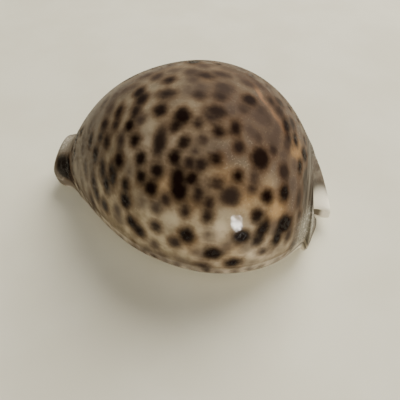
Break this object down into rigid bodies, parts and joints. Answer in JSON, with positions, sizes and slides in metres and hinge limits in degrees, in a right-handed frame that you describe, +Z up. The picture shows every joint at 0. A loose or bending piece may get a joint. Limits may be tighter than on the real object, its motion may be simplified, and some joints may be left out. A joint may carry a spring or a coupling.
{
  "type": "tiger cowrie shell",
  "caption": "Glossy tiger cowrie shell: an egg-shaped spotted dome, hollow inside, with a long toothed slit along its flat white base.",
  "frame": {"origin": "centre of the overall box's bottom face, on the surface the shell rests on", "axes": "+X along the shell from the front canal to the rear canal, +Y towards the outer lip's side, +Z up out of the crown"},
  "size_m": [0.08, 0.0567, 0.042],
  "materials": {
    "polished_shell": "gloss"
  },
  "bodies": {
    "root": {"shell": "polished_shell"}
  },
  "joints": []
}
